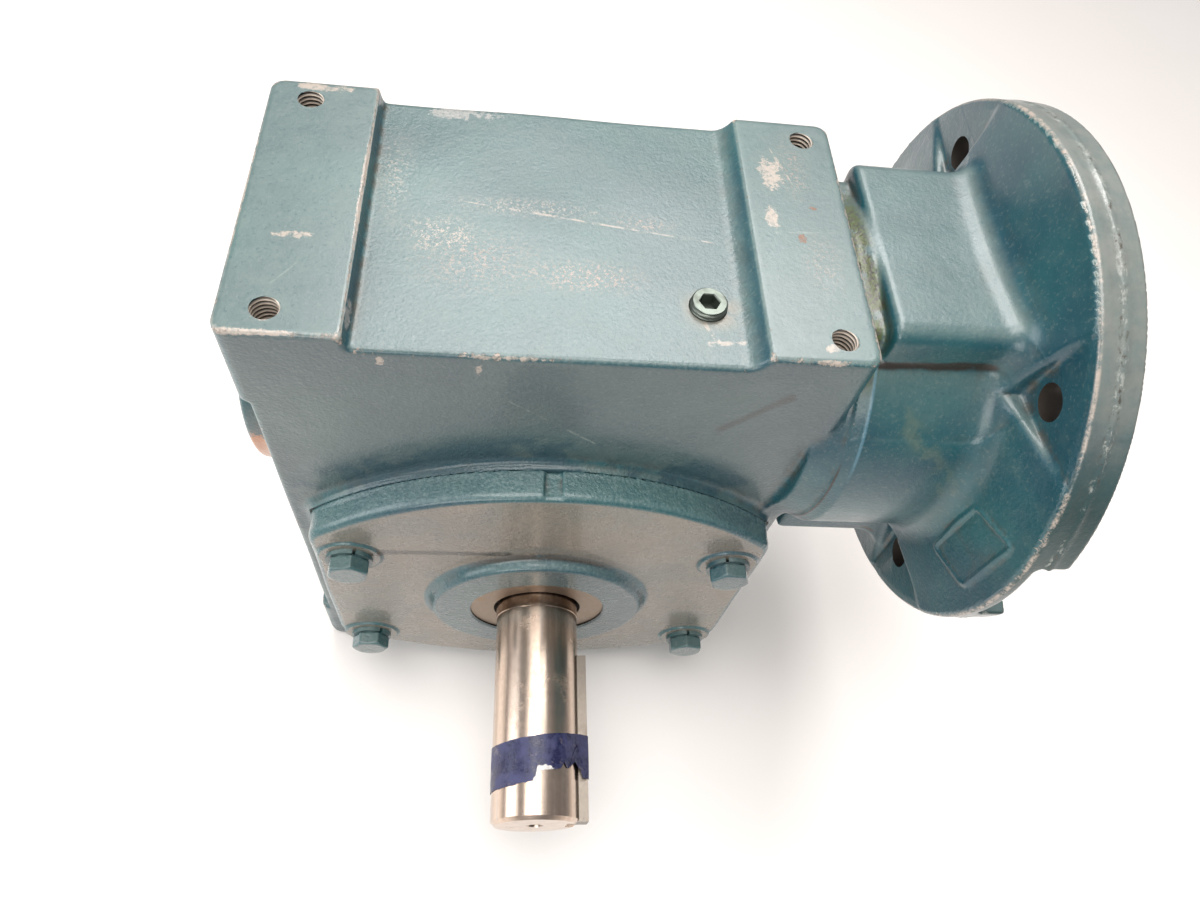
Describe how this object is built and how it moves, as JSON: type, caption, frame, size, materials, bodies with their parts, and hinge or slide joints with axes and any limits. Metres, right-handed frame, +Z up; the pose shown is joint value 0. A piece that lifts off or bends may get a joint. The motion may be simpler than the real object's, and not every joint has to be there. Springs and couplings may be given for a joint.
{
  "type": "right-angle worm gear reducer",
  "caption": "Worm gear reducer with a motor flange and keyed hollow input at right angles to a solid keyed output shaft.",
  "frame": {"origin": "centre of the four tapped foot holes, on the plane the feet stand on", "axes": "+Z up from the feet, +X towards the motor along the worm, output shaft along -Y"},
  "size_m": [0.3087, 0.2936, 0.3175],
  "materials": {
    "case_paint": "semi-gloss teal enamel over rough casting, chipped",
    "cover_paint": "semi-gloss teal enamel over casting",
    "painted_bolt": "glossy teal enamel",
    "painted_washer": "teal enamel, chipped",
    "gasket": "oiled gasket paper",
    "ground_steel": "ground, stained",
    "cast_iron": "oiled casting",
    "bronze": "machined",
    "seal_rubber": "satin",
    "seal_case": "tarnished",
    "tape": "creased tape",
    "zinc_steel": "zinc plated",
    "spring_steel": "blackened",
    "pressed_cage": "pressed",
    "bearing_steel": "polished"
  },
  "bodies": {
    "gear_case": {"cover_bolts_front": "painted_bolt", "cover_bolts_rear": "painted_bolt", "cover_gasket_front": "gasket", "cover_gasket_rear": "gasket", "drain_plug": "zinc_steel", "end_bearing_outer": "bearing_steel", "end_snap_ring": "spring_steel", "fill_plug": "zinc_steel", "front_bearing_cup": "bearing_steel", "housing": "case_paint", "input_seal_case": "seal_case", "input_seal_lip": "seal_rubber", "lock_washers_front": "painted_washer", "lock_washers_rear": "painted_washer", "output_cover": "cover_paint", "output_seal_case": "seal_case", "output_seal_lip": "seal_rubber", "quill_bearing_outer": "bearing_steel", "quill_snap_ring": "spring_steel", "rear_bearing_cup": "bearing_steel", "rear_cover": "cover_paint", "worm_end_cap": "zinc_steel"},
    "output": {"output_shaft": "ground_steel", "output_key": "ground_steel", "wheel_key": "ground_steel", "wheel_hub": "cast_iron", "wheel_rim": "bronze", "shaft_spacer": "ground_steel", "front_bearing_cone": "bearing_steel", "rear_bearing_cone": "bearing_steel", "shaft_tape": "tape"},
    "worm": {"worm_shaft": "ground_steel", "end_bearing_inner": "bearing_steel", "quill_bearing_inner": "bearing_steel", "shaft_snap_ring": "spring_steel"},
    "front_cage": {"front_bearing_rollers": "bearing_steel", "front_bearing_cage": "pressed_cage"},
    "rear_cage": {"rear_bearing_rollers": "bearing_steel", "rear_bearing_cage": "pressed_cage"},
    "end_cage": {"end_bearing_balls": "bearing_steel", "end_bearing_cage": "pressed_cage"},
    "quill_cage": {"quill_bearing_balls": "bearing_steel", "quill_bearing_cage": "pressed_cage"}
  },
  "joints": [
    {"name": "output_spin", "type": "hinge", "parent": "gear_case", "child": "output", "pos_m": [0.0016, 0, 0.1016], "axis": [0, 1, 0], "continuous": true},
    {"name": "worm_spin", "type": "hinge", "parent": "gear_case", "child": "worm", "pos_m": [0, 0, 0.2032], "axis": [1, 0, 0], "continuous": true},
    {"name": "front_cage_spin", "type": "hinge", "parent": "gear_case", "child": "front_cage", "pos_m": [0.0016, 0, 0.1016], "axis": [0, 1, 0], "continuous": true},
    {"name": "rear_cage_spin", "type": "hinge", "parent": "gear_case", "child": "rear_cage", "pos_m": [0.0016, 0, 0.1016], "axis": [0, 1, 0], "continuous": true},
    {"name": "end_cage_spin", "type": "hinge", "parent": "gear_case", "child": "end_cage", "pos_m": [0, 0, 0.2032], "axis": [1, 0, 0], "continuous": true},
    {"name": "quill_cage_spin", "type": "hinge", "parent": "gear_case", "child": "quill_cage", "pos_m": [0, 0, 0.2032], "axis": [1, 0, 0], "continuous": true}
  ],
  "couplings": [
    {"joint": "worm_spin", "follows": "output_spin", "ratio": -40},
    {"joint": "front_cage_spin", "follows": "output_spin", "ratio": 0.4257},
    {"joint": "rear_cage_spin", "follows": "output_spin", "ratio": 0.4257},
    {"joint": "end_cage_spin", "follows": "output_spin", "ratio": -15.85},
    {"joint": "quill_cage_spin", "follows": "output_spin", "ratio": -16.09}
  ]
}
